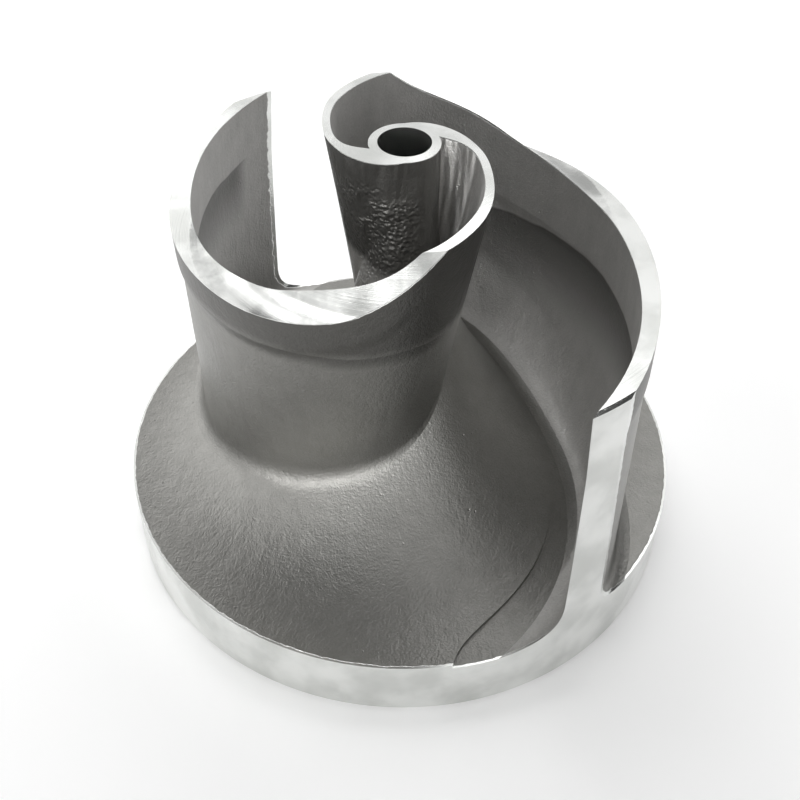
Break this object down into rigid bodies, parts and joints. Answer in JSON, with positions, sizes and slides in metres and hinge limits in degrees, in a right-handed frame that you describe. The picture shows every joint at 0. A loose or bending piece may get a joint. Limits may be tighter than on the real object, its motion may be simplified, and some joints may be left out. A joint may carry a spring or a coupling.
{
  "type": "pump impeller",
  "caption": "Open pump impeller: spiral vanes that rise from a round disc, a flared hub with a bore, and turned edges.",
  "frame": {"origin": "on the bore's axis, at the level of the rim's lower face", "axes": "+Z along the bore towards the eye; -Y towards the vane tip that faces the picture's camera; seen from +Z the vanes run outwards clockwise"},
  "size_m": [0.26, 0.26, 0.201],
  "materials": {
    "casting": "blasted cast stainless steel, with bright turned edges"
  },
  "bodies": {
    "root": {"impeller": "casting"}
  },
  "joints": []
}
